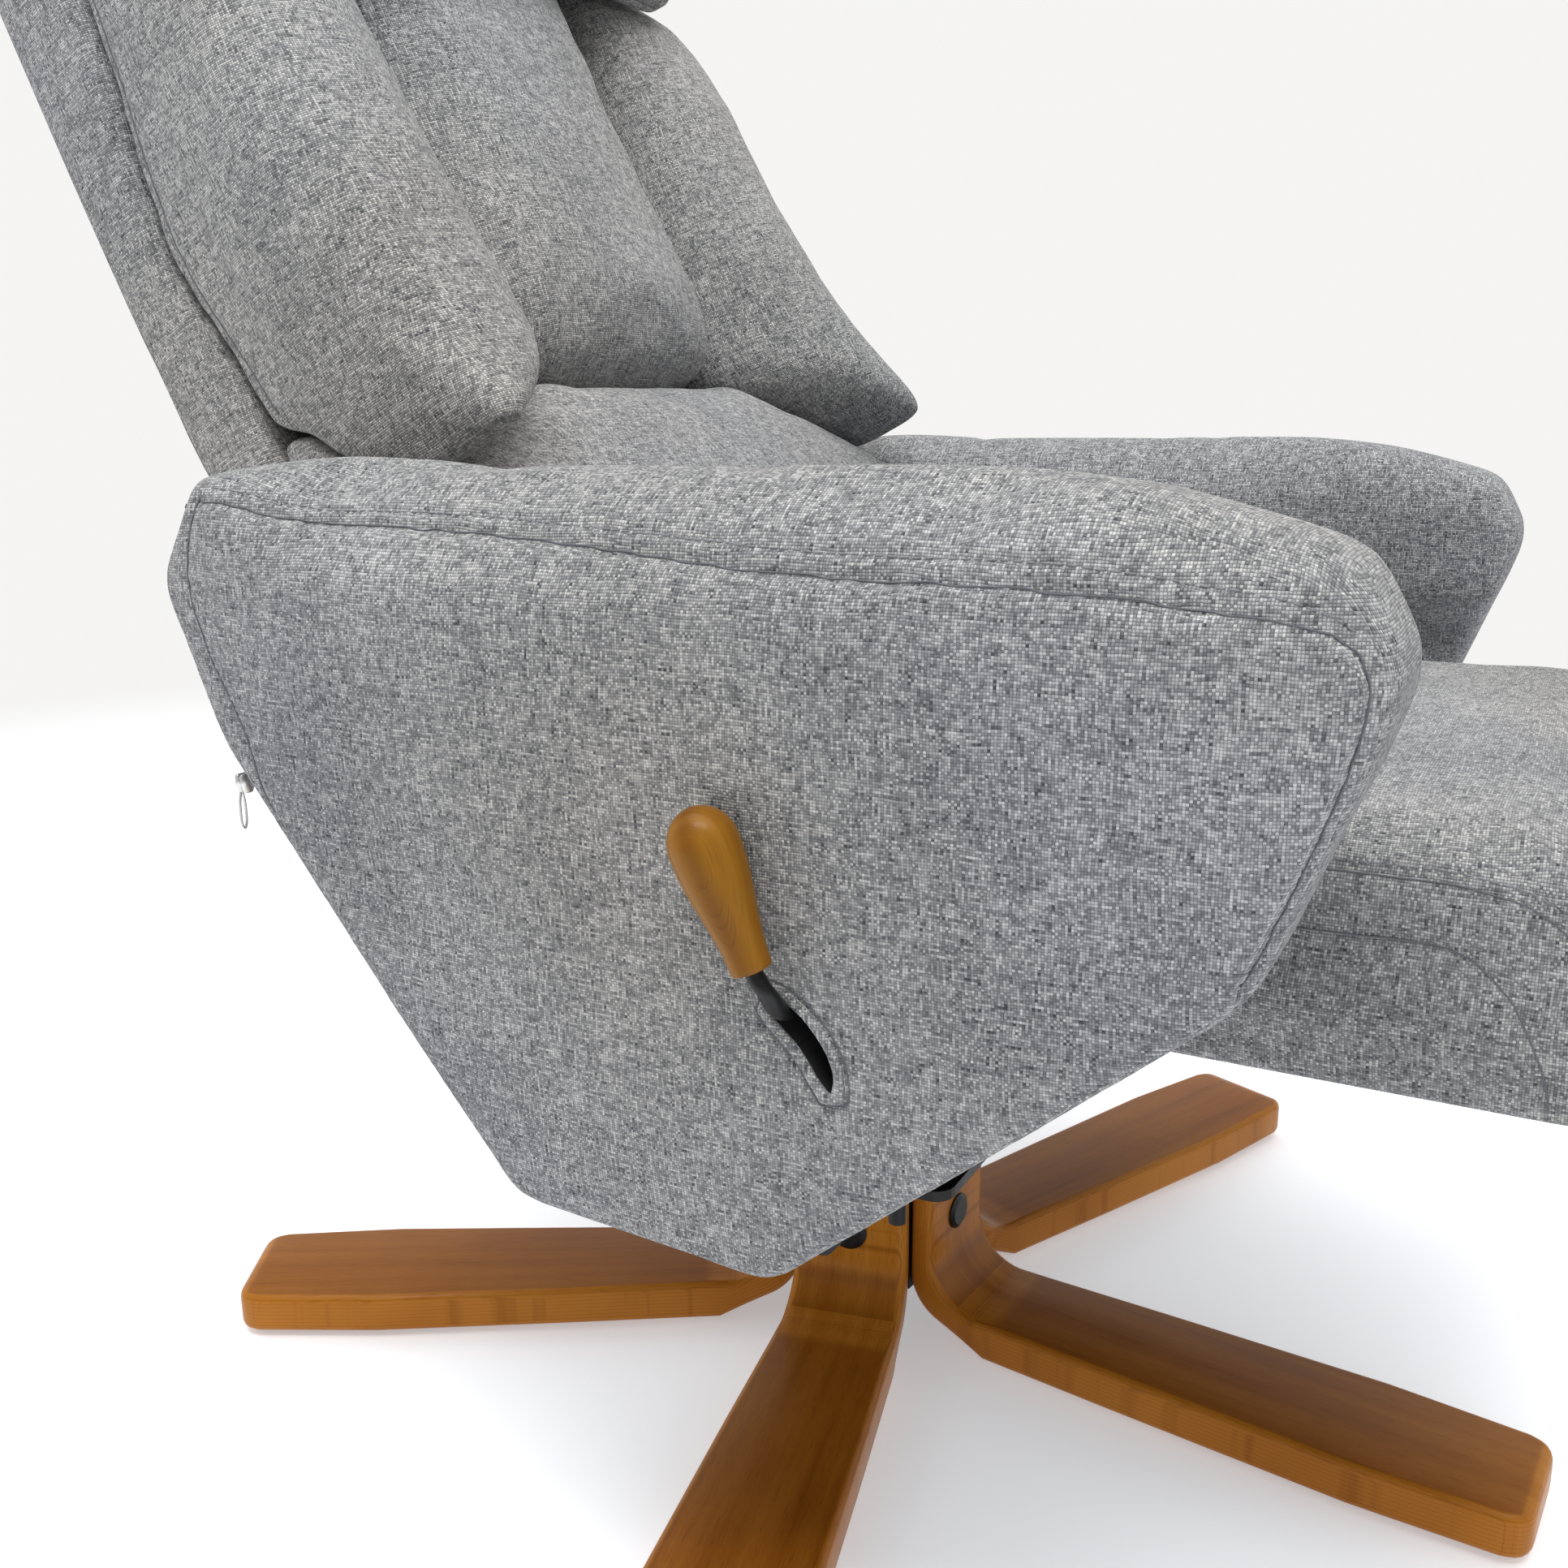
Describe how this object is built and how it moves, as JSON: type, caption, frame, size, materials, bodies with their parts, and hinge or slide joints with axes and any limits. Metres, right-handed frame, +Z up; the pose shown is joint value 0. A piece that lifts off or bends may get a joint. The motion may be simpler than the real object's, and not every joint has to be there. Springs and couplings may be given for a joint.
{
  "type": "recliner armchair",
  "caption": "Swivel recliner armchair with bentwood star base, padded roll-top arms, gliding seat, reclining padded back with headrest and side locking lever.",
  "frame": {"origin": "on the swivel axis at floor level, where the leg glides rest", "axes": "+Z up along the swivel axis, the sitter faces -Y, the sitter's right (the lever side) is -X"},
  "size_m": [0.8128, 0.942, 1.0212],
  "materials": {
    "leg_wood": "satin lacquer",
    "frame_wood": "raw",
    "black_steel": "satin black",
    "zinc_steel": "zinc plated",
    "black_plastic": "matte",
    "nylon": "matte",
    "upholstery": "plain woven",
    "dust_cloth": "non-woven",
    "zip_tape": "woven",
    "zip_metal": "nickel"
  },
  "bodies": {
    "base": {"leg_rear_left": "leg_wood", "leg_rear_right": "leg_wood", "leg_side_right": "leg_wood", "leg_front": "leg_wood", "leg_side_left": "leg_wood", "leg_glides": "black_plastic", "leg_bolts": "black_steel", "bolt_caps": "black_plastic", "hub": "black_steel", "hub_bushes": "nylon"},
    "chassis": {"swivel_plate": "black_steel", "swivel_spindle": "zinc_steel", "spindle_clip": "zinc_steel", "plate_bolts": "black_steel", "sub_rails": "black_steel", "cross_beams": "black_steel", "side_plate_right": "black_steel", "side_plate_left": "black_steel", "seat_rail_right": "zinc_steel", "seat_rail_left": "zinc_steel", "arm_frame_right": "zinc_steel", "arm_frame_left": "zinc_steel", "arm_bolts": "black_steel", "arm_panel_right": "upholstery", "arm_panel_left": "upholstery", "arm_roll_right": "upholstery", "arm_roll_left": "upholstery", "zip_tape_right": "zip_tape", "zip_tape_left": "zip_tape", "zip_slider_right": "zip_metal", "zip_slider_left": "zip_metal", "lever_bush": "nylon", "brake_shoe": "black_steel"},
    "lever": {"lever_shaft": "zinc_steel", "lock_cam": "zinc_steel", "lever_rod": "black_steel", "lever_handle": "leg_wood"},
    "zip_pull_right": {"zip_pull_right": "zip_metal"},
    "zip_pull_left": {"zip_pull_left": "zip_metal"},
    "seat": {"seat_frame": "frame_wood", "seat_springs": "zinc_steel", "seat_cushion": "upholstery", "seat_dust_cover": "dust_cloth", "seat_runner_right": "zinc_steel", "seat_runner_left": "zinc_steel", "hinge_plate_right": "black_steel", "hinge_plate_left": "black_steel", "hinge_pins": "zinc_steel"},
    "back": {"back_frame": "black_steel", "back_bracket_right": "black_steel", "back_bracket_left": "black_steel", "guide_pins": "zinc_steel", "back_springs": "zinc_steel", "back_shell": "upholstery", "lumbar_pad": "upholstery", "wing_pad_right": "upholstery", "wing_pad_left": "upholstery", "centre_pad": "upholstery", "headrest_pillow": "upholstery"}
  },
  "joints": [
    {"name": "swivel", "type": "hinge", "parent": "base", "child": "chassis", "pos_m": [0, 0, 0.1], "axis": [0, 0, 1], "continuous": true},
    {"name": "recline", "type": "hinge", "parent": "seat", "child": "back", "pos_m": [0, 0.13, 0.395], "axis": [-1, 0, 0], "range_deg": [0, 30]},
    {"name": "seat_glide", "type": "slide", "parent": "chassis", "child": "seat", "axis": [0, -1, 0], "range_m": [0, 0.09]},
    {"name": "lock_lever", "type": "hinge", "parent": "chassis", "child": "lever", "pos_m": [-0.3, -0.101, 0.321], "axis": [1, 0, 0], "range_deg": [0, 38]},
    {"name": "pull_swing_right", "type": "hinge", "parent": "chassis", "child": "zip_pull_right", "pos_m": [-0.354, 0.169, 0.415], "axis": [1, 0, 0], "range_deg": [-25, 120]},
    {"name": "pull_swing_left", "type": "hinge", "parent": "chassis", "child": "zip_pull_left", "pos_m": [0.354, 0.169, 0.415], "axis": [1, 0, 0], "range_deg": [-25, 120]}
  ],
  "couplings": [
    {"joint": "seat_glide", "follows": "recline", "m_per_rad": 0.17189}
  ]
}
